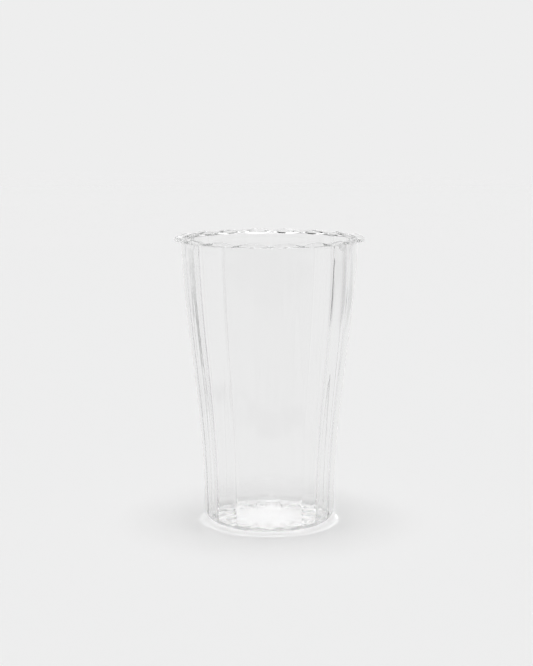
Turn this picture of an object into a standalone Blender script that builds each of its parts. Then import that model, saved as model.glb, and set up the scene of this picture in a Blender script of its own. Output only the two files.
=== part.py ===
"""Clear fluted drinking tumbler: a scalloped glass tube with a ruffled, flared lip,
sealed at its lower end onto a round bottom plate.
Metres, +Z up, origin at the middle of the underside."""

import math

import bmesh
import bpy
from mathutils import Vector

# Driving dimensions
HEIGHT = 0.1368  # from the table to the top of the lip
BASE_DIAMETER = 0.0620  # over the flutes where the tube meets the plate
NECK_DIAMETER = 0.0836  # over the flutes where the lip begins to flare
LIP_FLARE = 0.0035  # how far the lobes of the lip stand out beyond the neck
LIP_DIAMETER = NECK_DIAMETER + 2 * LIP_FLARE
LIP_HEIGHT = 0.0050  # flared band, measured down from the top of the lip
WALL = 0.0014  # thickness of the tube
PLATE_THICKNESS = 0.0018
HEEL_RADIUS = 0.0009  # rounding of the plate's edge
SEAL_GAP = 0.0003  # clearance between the tube's end and the plate

# Flutes
FLUTES = 18
FLUTE_DEPTH = 0.0010  # how far a groove lies inside the crests beside it
LIP_FLUTE_DEPTH = 0.0014  # the same at the edge of the lip
LIP_WAVE = 0.0010  # how much higher the lip stands over a groove than over a crest

# Shape of the side, as shares of the stretch that each curve covers
UPRIGHT_SHARE = 0.40  # how long the side keeps the upright start that it has at the base
TAPER_SHARE = 0.37  # how long the side keeps its taper below the neck
NECK_TAPER = 0.050  # radius gained for each unit of height at the neck
CURL_SHARE = 0.55  # how long the lip keeps the taper above the neck, and its own slope at the edge
LIP_ANGLE = math.radians(66)  # lean of the lip's edge from upright

# Fineness of the facets
STEPS_ACROSS_FLUTE = 6
SIDE_STEPS = 11
LIP_STEPS = 6
EDGE_STEPS = 4
PLATE_STEPS = 72
HEEL_STEPS = 3
MERGE_DISTANCE = 0.00001


def bezier(start, start_handle, end_handle, end, steps):
    """Points and directions along a cubic curve in the profile plane, from start to end."""
    stations = []
    for step in range(steps + 1):
        t = step / steps
        s = 1 - t
        first = s * s * start + 2 * s * t * start_handle + t * t * end_handle
        last = s * s * start_handle + 2 * s * t * end_handle + t * t * end
        stations.append((s * first + t * last, (last - first).normalized()))
    return stations


def wall_line():
    """Middle of the wall on a crest, as (radius, height) stations from the plate to the edge of the lip."""
    foot = Vector((BASE_DIAMETER / 2 - WALL / 2, PLATE_THICKNESS + SEAL_GAP))
    neck = Vector((NECK_DIAMETER / 2 - WALL / 2, HEIGHT - LIP_HEIGHT))
    edge = Vector((LIP_DIAMETER / 2 - WALL / 2, HEIGHT - LIP_WAVE - WALL / 2))
    taper = Vector((NECK_TAPER, 1))
    lean = Vector((math.sin(LIP_ANGLE), math.cos(LIP_ANGLE)))
    side_height = neck.y - foot.y
    lip_height = edge.y - neck.y
    side = bezier(
        foot,
        foot + Vector((0, UPRIGHT_SHARE * side_height)),
        neck - taper * TAPER_SHARE * side_height,
        neck,
        SIDE_STEPS,
    )
    lip = bezier(
        neck,
        neck + taper * CURL_SHARE * lip_height,
        edge - lean * CURL_SHARE * lip_height,
        edge,
        LIP_STEPS,
    )
    return side + lip[1:]


def tube_profile():
    """Closed outline of the wall on a crest: down the outside, up the inside and round the lip."""
    line = wall_line()
    outside = [point + Vector((slope.y, -slope.x)) * WALL / 2 for point, slope in line]
    inside = [point - Vector((slope.y, -slope.x)) * WALL / 2 for point, slope in line]
    centre, slope = line[-1]
    start = math.atan2(-slope.x, slope.y)
    edge = []
    for step in range(EDGE_STEPS - 1, 0, -1):
        angle = start + math.pi * step / EDGE_STEPS
        edge.append(centre + Vector((math.cos(angle), math.sin(angle))) * WALL / 2)
    return outside[::-1] + inside + edge


def lip_flare(height):
    """How far the crests have flared beyond the neck's own taper at a height."""
    line = [point for point, _ in wall_line()]
    neck = line[SIDE_STEPS]
    if height <= neck.y:
        return 0.0
    for below, above in zip(line, line[1:]):
        if height <= above.y:
            share = (height - below.y) / (above.y - below.y)
            radius = below.x + share * (above.x - below.x)
            return radius - neck.x - NECK_TAPER * (height - neck.y)
    return line[-1].x - neck.x - NECK_TAPER * (line[-1].y - neck.y)


def groove_share(angle):
    """0 on the crest of a flute and 1 in the groove between two flutes, along a rounded arch."""
    across = (angle / (2 * math.pi) * FLUTES + 0.5) % 1 - 0.5
    return (2 * across) ** 2


def flute(mesh):
    """Draws a turned wall in between the crests, deeper and in a wave where it flares into the lip."""
    full_flare = lip_flare(HEIGHT)
    for vertex in mesh.vertices:
        x, y, height = vertex.co
        radius = math.hypot(x, y)
        angle = math.atan2(x, -y)
        groove = groove_share(angle)
        lip_share = lip_flare(height) / full_flare
        radius -= (FLUTE_DEPTH + (LIP_FLUTE_DEPTH - FLUTE_DEPTH) * lip_share) * groove
        height += LIP_WAVE * lip_share * groove
        vertex.co = (radius * math.sin(angle), -radius * math.cos(angle), height)


def turned(name, profile, steps):
    """Mesh of a closed profile turned a full circle about Z."""
    guide_mesh = bpy.data.meshes.new(name + "_profile")
    count = len(profile)
    points = [(0, -point.x, point.y) for point in profile]
    guide_mesh.from_pydata(points, [(i, (i + 1) % count) for i in range(count)], [])
    guide = bpy.data.objects.new(name + "_profile", guide_mesh)
    bpy.context.scene.collection.objects.link(guide)
    screw = guide.modifiers.new("turn", "SCREW")
    screw.axis = "Z"
    screw.steps = steps
    screw.render_steps = steps
    screw.use_merge_vertices = True
    screw.merge_threshold = MERGE_DISTANCE
    graph = bpy.context.evaluated_depsgraph_get()
    mesh = bpy.data.meshes.new_from_object(guide.evaluated_get(graph))
    mesh.name = name
    bpy.data.objects.remove(guide)
    return mesh


def clear_glass():
    """Colourless glass with a polished surface and the faint green of a thick edge."""
    material = bpy.data.materials.new("clear_glass")
    material.use_nodes = True
    shader = material.node_tree.nodes["Principled BSDF"]
    shader.inputs["Base Color"].default_value = (0.95, 0.97, 0.96, 1)
    shader.inputs["Metallic"].default_value = 0
    shader.inputs["Roughness"].default_value = 0.02
    shader.inputs["IOR"].default_value = 1.47
    shader.inputs["Transmission Weight"].default_value = 1
    return material


def placed(name, mesh, collection, material):
    """Object for a finished mesh, shaded smooth apart from its real edges."""
    mesh.materials.clear()
    mesh.materials.append(material)
    mesh.shade_smooth()
    mesh.set_sharp_from_angle(angle=math.radians(40))
    part = bpy.data.objects.new(name, mesh)
    collection.objects.link(part)
    return part


def fluted_tube(collection, material):
    """Thin wall with its flutes, open at the lip and at the foot."""
    mesh = turned("fluted_tube", tube_profile(), FLUTES * STEPS_ACROSS_FLUTE)
    flute(mesh)
    return placed("fluted_tube", mesh, collection, material)


def bottom_plate(collection, material):
    """Round plate under the tube, with a rounded edge at the heel."""
    mesh = bpy.data.meshes.new("bottom_plate")
    disc = bmesh.new()
    bmesh.ops.create_cone(
        disc,
        cap_ends=True,
        segments=PLATE_STEPS,
        radius1=BASE_DIAMETER / 2,
        radius2=BASE_DIAMETER / 2,
        depth=PLATE_THICKNESS,
    )
    bmesh.ops.translate(disc, verts=disc.verts, vec=(0, 0, PLATE_THICKNESS / 2))
    disc.to_mesh(mesh)
    disc.free()
    plate = placed("bottom_plate", mesh, collection, material)
    heel = plate.modifiers.new("heel", "BEVEL")
    heel.limit_method = "ANGLE"
    heel.angle_limit = math.radians(60)
    heel.width = min(HEEL_RADIUS, PLATE_THICKNESS / 2)
    heel.segments = HEEL_STEPS
    return plate


def build():
    for leftover in list(bpy.data.objects):
        bpy.data.objects.remove(leftover)
    tumbler = bpy.data.collections.new("tumbler")
    bpy.context.scene.collection.children.link(tumbler)
    glass = clear_glass()
    bottom_plate(tumbler, glass)
    fluted_tube(tumbler, glass)


build()
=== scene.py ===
# Clear fluted tumbler on a pale studio sweep: the glass, its finish, the floor, the light and the camera.
import math

import bpy
import mathutils
import numpy as np
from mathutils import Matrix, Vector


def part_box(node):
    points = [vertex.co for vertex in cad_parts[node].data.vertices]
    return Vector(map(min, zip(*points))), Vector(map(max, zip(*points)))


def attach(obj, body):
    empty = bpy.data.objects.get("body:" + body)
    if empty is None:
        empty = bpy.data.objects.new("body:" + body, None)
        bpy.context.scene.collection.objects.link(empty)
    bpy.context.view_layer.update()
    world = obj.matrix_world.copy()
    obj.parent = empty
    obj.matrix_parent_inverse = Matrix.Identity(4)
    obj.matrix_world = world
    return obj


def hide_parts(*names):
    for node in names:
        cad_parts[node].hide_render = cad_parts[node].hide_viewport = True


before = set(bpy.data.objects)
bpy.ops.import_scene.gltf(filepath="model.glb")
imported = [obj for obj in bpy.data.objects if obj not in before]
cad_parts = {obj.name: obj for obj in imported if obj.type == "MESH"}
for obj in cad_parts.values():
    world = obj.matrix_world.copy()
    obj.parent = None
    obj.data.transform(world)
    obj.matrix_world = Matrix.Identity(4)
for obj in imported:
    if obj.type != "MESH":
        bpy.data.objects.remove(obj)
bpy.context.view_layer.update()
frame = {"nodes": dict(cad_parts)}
scene = bpy.context.scene
scene.view_settings.view_transform = "Standard"
tubeLow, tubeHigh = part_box("fluted_tube")
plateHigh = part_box("bottom_plate")[1]
print("frame loaded:", ", ".join(frame["nodes"]))


# sRGB hex to the linear values that Blender works in
def hexColour(code, alpha=1.0):
    values = [int(code[i:i + 2], 16) / 255 for i in (0, 2, 4)]
    return [v / 12.92 if v <= 0.04045 else ((v + 0.055) / 1.055) ** 2.4 for v in values] + [alpha]


# one node with its settings and links: a plain value goes on the socket, a socket is linked.
# It gives back one output, and that output's .node.outputs holds the rest
def addNode(tree, kind, settings=None, out=0, **sockets):
    node = tree.nodes.new(kind)
    for name, value in (settings or {}).items():
        setattr(node, name, value)
    for name, value in sockets.items():
        key = int(name[1:]) if name[1:].isdigit() else name.replace("_", " ")
        if isinstance(value, bpy.types.NodeSocket):
            tree.links.new(value, node.inputs[key])
        else:
            node.inputs[key].default_value = value
    return node.outputs[out] if node.outputs else None


# settings that several nodes share
soft = {"interpolation_type": "SMOOTHSTEP"}
times = {"operation": "MULTIPLY"}
most = {"operation": "MAXIMUM"}
above = {"operation": "GREATER_THAN"}
below = {"operation": "LESS_THAN"}


def newMaterial(name):
    material = bpy.data.materials.new(name)
    material.use_nodes = True
    material.node_tree.nodes.clear()
    return material, material.node_tree


# grid is rows x columns x 3: its first and last rows shrink to one point each, its columns join in a ring
def closedMesh(name, grid, material):
    rows, columns = grid.shape[0], grid.shape[1]
    points = np.concatenate([grid[0, :1], grid[1:-1].reshape(-1, 3), grid[-1:, 0]])
    here = np.arange(columns)
    after = np.roll(here, -1)
    base = 1 + np.arange(rows - 3)[:, None] * columns
    quads = np.stack([base + here, base + after, base + columns + after, base + columns + here], -1)
    lower = np.stack([np.zeros(columns, int), 1 + after, 1 + here], -1)
    top = 1 + (rows - 3) * columns
    upper = np.stack([top + here, top + after, np.full(columns, len(points) - 1)], -1)
    mesh = bpy.data.meshes.new(name)
    mesh.from_pydata(points.tolist(), [], quads.reshape(-1, 4).tolist() + lower.tolist() + upper.tolist())
    mesh.shade_smooth()
    mesh.materials.append(material)
    piece = bpy.data.objects.new(name, mesh)
    scene.collection.objects.link(piece)
    return piece


# fluted borosilicate tumbler: sharp grooves outside, a smoother wall inside, in metres
tumbler = {
    "flutes": 18,
    "acrossFlute": 24,  # facets across one flute
    "gather": 2.2,  # how hard they close up towards the grooves
    "wall": 0.0014,
    "lipWall": 0.0011,  # fire-polished thinner at the lip
    "thinning": (-0.0040, 0.0015),  # heights from the neck over which it thins
    "neckRadius": 0.0418,
    "lipHeight": 0.0050,
    "fluteDepth": 0.00094,  # reached at fluteGrowth, from footFluteDepth at the table
    "footFluteDepth": 0.0004,
    "fluteGrowth": 0.13,
    "innerDepth": 0.0002,  # the flutes on the inside
    "cuspDepth": 0.00030,  # sharp line along each groove, reached at cuspGrowth, from footCuspDepth
    "footCuspDepth": 0.00028,
    "cuspGrowth": 0.10,
    "cuspWidth": 0.00045,
    "lipFluteDepth": 0.0011,  # the flutes at the lip, and how far its edge waves in height
    "lipWave": 0.0008,
    "neckTaper": 0.050,  # radius gained for each unit of height at the neck
    "uprightShare": 0.40,  # how long the side keeps its upright start, and its taper below the neck
    "taperShare": 0.37,
    "lipLean": math.radians(82),  # lean of the lip from upright, and the radius of the turn into it
    "lipTurn": 0.0011,
    "heelRadius": 0.0060,  # rounding under the edge of the base, and the fillet inside it
    "floorFillet": 0.0024,
    "ribHeight": 0.0003,  # ribs where the grooves run in over the floor
    "ribReach": (0.40, 0.90),  # shares of the foot's radius over which they grow outwards
    "ribEnd": (0.003, 0.009),  # heights over which they die away up the wall
    # how far each groove stands off its even place, in degrees, from the front round by the right
    "drift": (1.0, 1.0, -2.5, -3.0, -1.5, 0.0, 0.8, -0.6, 0.5,
              -0.7, 0.6, -0.5, 0.8, 0.0, -2.0, -1.5, 1.0, 1.2),
    # how sharp and deep each groove is, in the same order
    "bite": (0.6, 0.6, 1.2, 1.2, 0.6, 0.2, 0.2, 0.2, 0.2,
             0.2, 0.2, 0.2, 0.2, 0.6, 1.2, 1.4, 1.4, 0.6),
    "fluteStart": 0.0015,  # heights over which the grooves and the flutes come up out of the round base
    "cuspFull": 0.0040,
    "fluteFull": 0.0060,
    # points along each stretch of the profile, and the least step from a rounding to the wall above it
    "points": {"side": 53, "stem": 7, "turn": 15, "brim": 9, "bead": 13,
               "heel": 15, "bend": 13, "under": 7, "floor": 21},
    "apart": 0.0002,
}


# cubic curve through (radius, height): start, two handles, end, sampled at t
def cubicCurve(points, t):
    p = np.array(points)
    t = t[:, None]
    place = (1 - t) ** 3 * p[0] + 3 * (1 - t) ** 2 * t * p[1] + 3 * (1 - t) * t ** 2 * p[2] + t ** 3 * p[3]
    slope = (1 - t) ** 2 * (p[1] - p[0]) + 2 * (1 - t) * t * (p[2] - p[1]) + t ** 2 * (p[3] - p[2])
    return place, slope / np.linalg.norm(slope, axis=1, keepdims=True)


# 0 below low, 1 above high, and an easy S between them
def smoothRise(values, low, high):
    share = np.clip((values - low) / (high - low), 0, 1)
    return share * share * (3 - 2 * share)


# arc of (radius, height) points about a centre, angles in degrees
def arcPoints(centre, radius, start, end, count):
    angles = np.radians(np.linspace(start, end, count))
    return np.array(centre) + radius * np.stack([np.cos(angles), np.sin(angles)], -1)


# the glass is one closed surface: a profile of (radius, height) from the middle of the underside,
# round the heel, up the outside, over the lip, down the inside and to the middle of the floor,
# carried round the axis. At each angle the radius is drawn in by depth times groove, where groove
# is 0 on a crest and 1 between two flutes, and by a narrow cusp that falls off as exp(-distance / width)
def glassGrid(spec):
    wall, lipWall, fillet, heelRadius = spec["wall"], spec["lipWall"], spec["floorFillet"], spec["heelRadius"]
    footRadius, floorHeight = plateHigh[0], plateHigh[2]
    counts = spec["points"]
    foot = np.array([footRadius - wall / 2, tubeLow[2]])
    neck = np.array([spec["neckRadius"] - wall / 2, tubeHigh[2] - spec["lipHeight"]])
    edge = np.array([tubeHigh[1] - lipWall / 2, tubeHigh[2] - spec["lipWave"] - lipWall / 2])
    taper = np.array([spec["neckTaper"], 1.0])
    lean = np.array([math.sin(spec["lipLean"]), math.cos(spec["lipLean"])])
    sideHeight = neck[1] - foot[1]
    handles = [foot, foot + [0, spec["uprightShare"] * sideHeight],
               neck - taper * spec["taperShare"] * sideHeight, neck]
    side, sideSlope = cubicCurve(handles, np.linspace(0, 1, counts["side"]))
    # the lip goes on up, turns on a small arc and runs straight out to its edge
    upright = taper / np.linalg.norm(taper)
    rise, run = np.linalg.solve(np.stack([upright, lean], -1), edge - neck)
    tilt = spec["lipLean"] - math.atan(spec["neckTaper"])
    cut = spec["lipTurn"] * math.tan(tilt / 2)
    turn = np.linspace(0, tilt, counts["turn"])[:, None]
    outward = np.array([upright[1], -upright[0]])
    stem = neck + upright * np.linspace(0, rise - cut, counts["stem"])[1:, None]
    arc = stem[-1] + spec["lipTurn"] * (upright * np.sin(turn) + outward * (1 - np.cos(turn)))
    brim = arc[-1] + lean * np.linspace(0, run - cut, counts["brim"])[1:, None]
    arcSlope = upright * np.cos(turn) + outward * np.sin(turn)
    stemSlope, brimSlope = np.tile(upright, (len(stem), 1)), np.tile(lean, (len(brim), 1))
    line = np.concatenate([side, stem, arc[1:], brim])
    slope = np.concatenate([sideSlope, stemSlope, arcSlope[1:], brimSlope])
    # the wall thins over the lip
    normal = np.stack([slope[:, 1], -slope[:, 0]], -1)
    thinLow, thinHigh = neck[1] + spec["thinning"][0], neck[1] + spec["thinning"][1]
    thick = wall + (lipWall - wall) * smoothRise(line[:, 1:], thinLow, thinHigh)
    outside, inside = line + normal * thick / 2, line - normal * thick / 2
    leanAngle = math.degrees(spec["lipLean"])
    bead = arcPoints(edge, lipWall / 2, -leanAngle, 180 - leanAngle, counts["bead"])[1:-1]
    heel = arcPoints([footRadius - heelRadius, heelRadius], heelRadius, -90, 0, counts["heel"])
    bend = arcPoints([inside[0, 0] - fillet, floorHeight + fillet], fillet, 0, -90, counts["bend"])
    underRadius = np.linspace(0, heel[0, 0], counts["under"])[:-1]
    under = np.stack([underRadius, np.zeros_like(underRadius)], -1)
    floorRadius = np.linspace(bend[-1, 0], 0, counts["floor"])[1:]
    floor = np.stack([floorRadius, np.full_like(floorRadius, floorHeight)], -1)
    outside = outside[outside[:, 1] > heelRadius + spec["apart"]]
    inner = inside[::-1][inside[::-1, 1] > floorHeight + fillet + spec["apart"]]
    profile = np.concatenate([under, heel, outside, bead, inner, bend, floor])
    plain, height = profile[:, :1], profile[:, 1:]

    # flare of the lip beyond the neck's own taper, as a share of the whole flare
    flare = np.interp(height, line[:, 1], line[:, 0] - neck[0] - spec["neckTaper"] * (line[:, 1] - neck[1]))
    lipShare = np.where(height > neck[1], flare / flare.max(), 0)
    outsideEnd = len(under) + len(heel) + len(outside)
    inward = np.clip((np.arange(len(profile)) - outsideEnd) / len(bead), 0, 1)[:, None]  # 0 outside, 1 inside
    onFloor = smoothRise(plain, spec["ribReach"][0] * footRadius, spec["ribReach"][1] * footRadius)
    start = np.where(inward < 1, smoothRise(height, spec["fluteStart"], spec["fluteFull"]), onFloor)
    cuspStart = smoothRise(height, spec["fluteStart"], spec["cuspFull"])
    grown = smoothRise(height, 0.0, spec["fluteGrowth"])
    outerDepth = spec["footFluteDepth"] + (spec["fluteDepth"] - spec["footFluteDepth"]) * grown
    depth = outerDepth * (1 - inward) + spec["innerDepth"] * inward
    depth = start * (depth + (spec["lipFluteDepth"] - depth) * lipShare)

    # across one flute: 0 on the crest, 1 in the groove, with the steps closing up towards the groove
    half = np.linspace(0, 1, spec["acrossFlute"] // 2 + 1)
    share = 1 - (1 - half) ** spec["gather"]
    across = np.concatenate([share, 2 - share[-2:0:-1]])
    angle = ((np.arange(spec["flutes"])[:, None] + across / 2) * 2 * np.pi / spec["flutes"]).ravel()
    toGroove = np.tile(np.abs(1 - across), spec["flutes"])
    grooves = (np.arange(spec["flutes"]) + 0.5) * 2 * np.pi / spec["flutes"]
    angle = angle + np.interp(angle, grooves, np.radians(spec["drift"]), period=2 * np.pi)
    cusp = np.exp(-toGroove * np.pi / spec["flutes"] * plain / spec["cuspWidth"])
    arch = (1 - toGroove) ** 2
    wave = (1 + np.cos(np.pi * toGroove)) / 2
    bite = np.repeat(spec["bite"], spec["acrossFlute"])
    blunt = np.maximum(np.maximum(inward, lipShare), 1 - np.minimum(bite, 1))
    groove = arch + (wave - arch) * blunt
    cuspGrown = smoothRise(height, 0.0, spec["cuspGrowth"])
    pressed = spec["footCuspDepth"] + (spec["cuspDepth"] - spec["footCuspDepth"]) * cuspGrown
    radius = plain - depth * groove - pressed * bite * cusp * cuspStart * (1 - inward) * (1 - lipShare)
    rib = spec["ribHeight"] * onFloor * (1 - smoothRise(height, *spec["ribEnd"])) * (inward == 1)
    lift = spec["lipWave"] * lipShare * groove + rib * groove
    return np.stack([radius * np.sin(angle), -radius * np.cos(angle), height + lift], -1)


# clear borosilicate glass, drawn and fire-polished: no colour in the wall, a faint grey where light
# runs along it, and a surface that waves a little along the draw
def borosilicateGlass():
    material, tree = newMaterial("clear borosilicate glass")
    place = addNode(tree, "ShaderNodeTexCoord", out="Object")
    drawn = addNode(tree, "ShaderNodeMapping", Vector=place, Scale=(400, 400, 24))  # about 2.5 mm by 40 mm
    striae = addNode(tree, "ShaderNodeTexNoise", Vector=drawn, Scale=1.0, Detail=2.0, Roughness=0.5)
    tone = addNode(tree, "ShaderNodeMix", {"data_type": "RGBA"}, out=2, i0=striae, i6=hexColour("FFFFFF"),
                   i7=hexColour("FCFCFC"))
    wave = addNode(tree, "ShaderNodeBump", Strength=1.0, Distance=0.000003, Height=striae)  # 3 microns
    shader = addNode(tree, "ShaderNodeBsdfPrincipled", Base_Color=tone, Normal=wave, Roughness=0.0,
                     IOR=1.47, Transmission_Weight=1.0)
    depth = addNode(tree, "ShaderNodeVolumeAbsorption", Color=hexColour("C6C8C7"), Density=2.2)
    addNode(tree, "ShaderNodeOutputMaterial", Surface=shader, Volume=depth)
    return material


glass = closedMesh("tumbler_glass", glassGrid(tumbler), borosilicateGlass())
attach(glass, "root")
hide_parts("fluted_tube", "bottom_plate")
print("glass:", len(glass.data.polygons), "faces")


# pale paper sweep, the light on it, and the room that the glass mirrors.
# Edges in the room are heights or widths of a direction of length 1, those on the paper are metres
studio = {
    "pale": "EEEEEE",
    "drop": 0.0003,  # air under the glass, which keeps the underside bright
    "size": 5.0,
    "fade": (1.5, 4.0),  # reach over which the paper melts into the background
    "shadow": (0.020, 0.100, 0.84),  # painted soft shadow round the foot, on the paper as the glass shows it: reach, reach, darkest
    "walls": 0.80,  # light from the sides of the room, which dies away upwards over wallsEdge
    "wallsEdge": (0.70, 0.90),
    "lamp": 9.0,  # round soft box straight overhead, whose edge lies about 13 degrees off the plumb line
    "lampEdge": (0.970, 0.977),
    "lampHole": (0.988, 0.992, 0.3),  # dimmer in its middle
    "top": 0.95,  # the soft box as the glass shows it deep inside, and its glint on the surface
    "glint": 1.2,
    "topEdge": (0.74, 0.84),
    "sweep": 0.85,  # the pale room as the glass shows it
    "front": 0.45,  # its dim side in front, which shows only after a turn in the glass
    "frontReach": (-0.1, -1.0),
    "ceiling": 0.03,  # dark ceiling, and the heights over which it begins
    "ceilingEdge": (0.28, 0.42),
    "strip": 1.4,  # long soft box under the ceiling
    "stripEdge": (0.07, 0.12),
    "beyond": 0.10,  # the dim room past the paper, low on the right; on the paper it also sets how dark the painted patch is
    "beyondSide": (0.52, 0.66),
    "beyondTop": (0.15, 0.35),
    "beyondBack": (0.2, 0.3),
    "paintedDarkSide": (0.33, 0.39),  # painted dark patch on the right of the paper, seen only in the glass, in the place of the paper's edge
    "paintedDarkNear": (0.10, 0.26),  # where that painted patch begins, going back, and where it ends
    "paintedDarkFar": (0.40, 0.60),
    "paperFront": (-0.42, -0.28),  # painted dark patch on the paper in front of the glass, seen only after a deep turn in the glass, in the place of the paper's edge
    "inside": 0.98,  # painted shade: how bright the paper is painted in light that ran along inside the wall, seen after a turn in the glass
    "deepPath": 2.5,  # surfaces that light has met once it is deep in the glass, and once it is lost there
    "longPath": 6.5,
}


def paperFloor(spec):
    material, tree = newMaterial("pale paper sweep")
    pale = hexColour(spec["pale"])
    paper = addNode(tree, "ShaderNodeBsdfDiffuse", Color=pale)
    place = addNode(tree, "ShaderNodeTexCoord", out="Object")
    reach = addNode(tree, "ShaderNodeVectorMath", {"operation": "LENGTH"}, out="Value", i0=place)
    x, y = addNode(tree, "ShaderNodeSeparateXYZ", Vector=place).node.outputs[:2]
    path = addNode(tree, "ShaderNodeLightPath").node.outputs
    # painted reflection and shade, for what only the glass shows: dark patches painted on the paper for the
    # dim room past its edges, and painted shade after a turn in the wall
    crossed = addNode(tree, "ShaderNodeMath", {"operation": "ADD"}, i0=path["Glossy Depth"],
                      i1=path["Transmission Depth"])
    passed = addNode(tree, "ShaderNodeMath", above, i0=crossed, i1=0.5)
    direct = addNode(tree, "ShaderNodeMath", below, i0=path["Diffuse Depth"], i1=0.5)
    passed = addNode(tree, "ShaderNodeMath", times, i0=passed, i1=direct)
    # painted dark patch on the right of the paper, seen only in the glass
    outside = addNode(tree, "ShaderNodeMapRange", soft, Value=x, From_Min=spec["paintedDarkSide"][0],
                      From_Max=spec["paintedDarkSide"][1], To_Min=0.0, To_Max=1 - spec["beyond"])
    behind = addNode(tree, "ShaderNodeMapRange", soft, Value=y, From_Min=spec["paintedDarkNear"][0],
                     From_Max=spec["paintedDarkNear"][1], To_Min=0.0, To_Max=1.0)
    within = addNode(tree, "ShaderNodeMapRange", soft, Value=y, From_Min=spec["paintedDarkFar"][0],
                     From_Max=spec["paintedDarkFar"][1], To_Min=1.0, To_Max=0.0)
    behind = addNode(tree, "ShaderNodeMath", times, i0=behind, i1=within)
    outside = addNode(tree, "ShaderNodeMath", times, i0=outside, i1=behind)
    mirrored = addNode(tree, "ShaderNodeMath", above, i0=path["Glossy Depth"], i1=0.5)
    # painted shade: the paper a little darker after a turn in the glass
    turned = addNode(tree, "ShaderNodeMath", times, i0=mirrored, i1=1 - spec["inside"])
    shade = addNode(tree, "ShaderNodeMath", most, i0=outside, i1=turned)
    # painted dark patch on the paper in front, shown only after a deep turn in the glass
    before = addNode(tree, "ShaderNodeMapRange", soft, Value=y, From_Min=spec["paperFront"][0],
                     From_Max=spec["paperFront"][1], To_Min=1 - spec["front"], To_Max=0.0)
    deep = addNode(tree, "ShaderNodeMath", above, i0=path["Ray Depth"], i1=spec["deepPath"])
    deep = addNode(tree, "ShaderNodeMath", times, i0=deep, i1=mirrored)
    before = addNode(tree, "ShaderNodeMath", times, i0=before, i1=deep)
    shade = addNode(tree, "ShaderNodeMath", most, i0=shade, i1=before)
    lit = addNode(tree, "ShaderNodeMath", {"operation": "SUBTRACT"}, i0=1.0, i1=shade)
    # painted shadow: the paper that the glass shows darkens towards the foot
    paintedShadow = addNode(tree, "ShaderNodeMapRange", soft, Value=reach, From_Min=spec["shadow"][0],
                   From_Max=spec["shadow"][1], To_Min=spec["shadow"][2], To_Max=1.0)
    lit = addNode(tree, "ShaderNodeMath", times, i0=lit, i1=paintedShadow)
    # the paper as the glass shows it glows at its own brightness, with the painted shadow and painted dark
    # patches in it
    shown = addNode(tree, "ShaderNodeEmission", Color=pale, Strength=lit)
    aside = addNode(tree, "ShaderNodeMath", above, i0=reach, i1=plateHigh[0])
    share = addNode(tree, "ShaderNodeMath", times, i0=passed, i1=aside)
    mix = addNode(tree, "ShaderNodeMixShader", i0=share, i1=paper, i2=shown)
    fade = addNode(tree, "ShaderNodeMapRange", soft, Value=reach, From_Min=spec["fade"][0],
                   From_Max=spec["fade"][1], To_Min=0.0, To_Max=1.0)
    clear = addNode(tree, "ShaderNodeBsdfTransparent")
    mix = addNode(tree, "ShaderNodeMixShader", i0=fade, i1=mix, i2=clear)
    addNode(tree, "ShaderNodeOutputMaterial", Surface=mix)
    bpy.ops.mesh.primitive_plane_add(size=2 * spec["size"])
    floor = bpy.context.object
    floor.name = "paper_floor"
    floor.data.transform(mathutils.Matrix.Translation((0, 0, -spec["drop"])))
    floor.data.materials.append(material)


paperFloor(studio)
print("paper laid")


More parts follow.
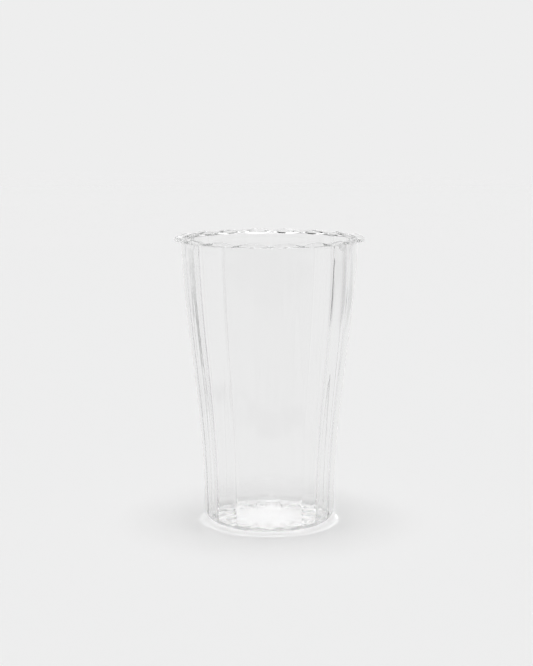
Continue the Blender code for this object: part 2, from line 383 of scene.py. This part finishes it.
def studioWorld(spec):
    world = bpy.data.worlds.new("white studio")
    world.use_nodes = True
    tree = world.node_tree
    tree.nodes.clear()
    seen = addNode(tree, "ShaderNodeBackground", Color=hexColour(spec["pale"]), Strength=1.0)
    place = addNode(tree, "ShaderNodeTexCoord", out="Generated")
    x, y, z = addNode(tree, "ShaderNodeSeparateXYZ", Vector=place).node.outputs
    path = addNode(tree, "ShaderNodeLightPath").node.outputs
    # light on paper: the sides of the room and a soft box overhead, together 1 on level paper
    up = np.linspace(0, 1, 4001)
    hole = 1 - spec["lampHole"][2] * smoothRise(up, *spec["lampHole"][:2])
    sides, box = 1 - smoothRise(up, *spec["wallsEdge"]), hole * smoothRise(up, *spec["lampEdge"])
    level = ((spec["walls"] * sides + spec["lamp"] * box) * 2 * up).mean()
    sides = addNode(tree, "ShaderNodeMapRange", soft, Value=z, From_Min=spec["wallsEdge"][0],
                    From_Max=spec["wallsEdge"][1], To_Min=spec["walls"] / level, To_Max=0.0)
    box = addNode(tree, "ShaderNodeMapRange", soft, Value=z, From_Min=spec["lampEdge"][0],
                  From_Max=spec["lampEdge"][1], To_Min=0.0, To_Max=spec["lamp"] / level)
    hole = addNode(tree, "ShaderNodeMapRange", soft, Value=z, From_Min=spec["lampHole"][0],
                   From_Max=spec["lampHole"][1], To_Min=1.0, To_Max=1 - spec["lampHole"][2])
    box = addNode(tree, "ShaderNodeMath", times, i0=box, i1=hole)
    glow = addNode(tree, "ShaderNodeMath", {"operation": "ADD"}, i0=sides, i1=box)
    lamp = addNode(tree, "ShaderNodeBackground", Color=(1, 1, 1, 1), Strength=glow)
    # what the glass shows: the pale sweep, the dim room low on the right and in front, a dark ceiling
    # with a long soft box under it, and the soft box overhead
    right = addNode(tree, "ShaderNodeMapRange", soft, Value=x, From_Min=spec["beyondSide"][0],
                    From_Max=spec["beyondSide"][1], To_Min=0.0, To_Max=1 - spec["beyond"])
    low = addNode(tree, "ShaderNodeMapRange", soft, Value=z, From_Min=spec["beyondTop"][0],
                  From_Max=spec["beyondTop"][1], To_Min=1.0, To_Max=0.0)
    behind = addNode(tree, "ShaderNodeMapRange", soft, Value=y, From_Min=spec["beyondBack"][0],
                     From_Max=spec["beyondBack"][1], To_Min=0.0, To_Max=1.0)
    shade = addNode(tree, "ShaderNodeMath", times, i0=right, i1=low)
    shade = addNode(tree, "ShaderNodeMath", times, i0=shade, i1=behind)
    lit = addNode(tree, "ShaderNodeMath", {"operation": "SUBTRACT"}, i0=1.0, i1=shade)
    deep = addNode(tree, "ShaderNodeMath", above, i0=path["Ray Depth"], i1=spec["deepPath"])
    once = addNode(tree, "ShaderNodeMath", below, i0=path["Ray Depth"], i1=spec["longPath"])
    once = addNode(tree, "ShaderNodeMath", times, i0=once, i1=deep)
    mirrored = addNode(tree, "ShaderNodeMath", above, i0=path["Glossy Depth"], i1=0.5)
    once = addNode(tree, "ShaderNodeMath", times, i0=once, i1=mirrored)
    dim = addNode(tree, "ShaderNodeMapRange", Value=once, To_Min=spec["sweep"], To_Max=spec["front"])
    ahead = addNode(tree, "ShaderNodeMapRange", soft, Value=y, From_Min=spec["frontReach"][0],
                    From_Max=spec["frontReach"][1], To_Min=spec["sweep"], To_Max=dim)
    walls = addNode(tree, "ShaderNodeMath", times, i0=ahead, i1=lit)
    ceiling = addNode(tree, "ShaderNodeMapRange", soft, Value=z, From_Min=spec["ceilingEdge"][0],
                      From_Max=spec["ceilingEdge"][1], To_Min=1.0, To_Max=spec["ceiling"])
    walls = addNode(tree, "ShaderNodeMath", times, i0=walls, i1=ceiling)
    wide = addNode(tree, "ShaderNodeMath", {"operation": "ABSOLUTE"}, i0=x)
    wide = addNode(tree, "ShaderNodeMapRange", soft, Value=wide, From_Min=spec["stripEdge"][0],
                   From_Max=spec["stripEdge"][1], To_Min=spec["strip"], To_Max=0.0)
    high = addNode(tree, "ShaderNodeMapRange", soft, Value=z, From_Min=spec["ceilingEdge"][0],
                   From_Max=spec["ceilingEdge"][1], To_Min=0.0, To_Max=1.0)
    strip = addNode(tree, "ShaderNodeMath", times, i0=wide, i1=high)
    walls = addNode(tree, "ShaderNodeMath", most, i0=walls, i1=strip)
    bright = addNode(tree, "ShaderNodeMapRange", Value=deep, To_Min=spec["glint"], To_Max=spec["top"])
    over = addNode(tree, "ShaderNodeMapRange", soft, Value=z, From_Min=spec["topEdge"][0],
                   From_Max=spec["topEdge"][1], To_Min=0.0, To_Max=bright)
    walls = addNode(tree, "ShaderNodeMath", most, i0=walls, i1=over)
    room = addNode(tree, "ShaderNodeBackground", Color=(1, 1, 1, 1), Strength=walls)
    direct = addNode(tree, "ShaderNodeMath", below, i0=path["Diffuse Depth"], i1=0.5)
    looked = addNode(tree, "ShaderNodeMath", most, i0=path["Is Transmission Ray"], i1=path["Is Glossy Ray"])
    looked = addNode(tree, "ShaderNodeMath", times, i0=looked, i1=direct)
    mix = addNode(tree, "ShaderNodeMixShader", i0=looked, i1=lamp, i2=room)
    mix = addNode(tree, "ShaderNodeMixShader", i0=path["Is Camera Ray"], i1=mix, i2=seen)
    addNode(tree, "ShaderNodeOutputWorld", Surface=mix)
    scene.world = world


studioWorld(studio)
scene.cycles.max_bounces = 400  # light runs a long way round inside the wall
scene.cycles.glossy_bounces = 400
scene.cycles.transmission_bounces = 400
scene.cycles.blur_glossy = 0.0  # keeps the light that the glass throws on the paper sharp
print("studio lit")

# the photograph's view: a long lens a little above the rim, the axis just right of the middle
view = {
    "lens": 85.0,  # millimetres
    "sensor": 36.0,
    "nearest": 0.01,
    "turn": 1.6,  # degrees round the axis, and metres aside from it
    "aside": -0.00145,
    "away": 0.7408,
    "height": 0.1984,
    "down": 8.3,  # degrees
}


def photoCamera(spec):
    data = bpy.data.cameras.new("camera")
    data.sensor_fit = "VERTICAL"
    data.sensor_height = spec["sensor"]
    data.lens = spec["lens"]
    data.clip_start = spec["nearest"]
    camera = bpy.data.objects.new("camera", data)
    turn = math.radians(spec["turn"])
    camera.location = (spec["aside"] * math.cos(turn) + spec["away"] * math.sin(turn),
                       spec["aside"] * math.sin(turn) - spec["away"] * math.cos(turn), spec["height"])
    camera.rotation_euler = (math.radians(90 - spec["down"]), 0, turn)
    scene.collection.objects.link(camera)
    scene.camera = camera


photoCamera(view)
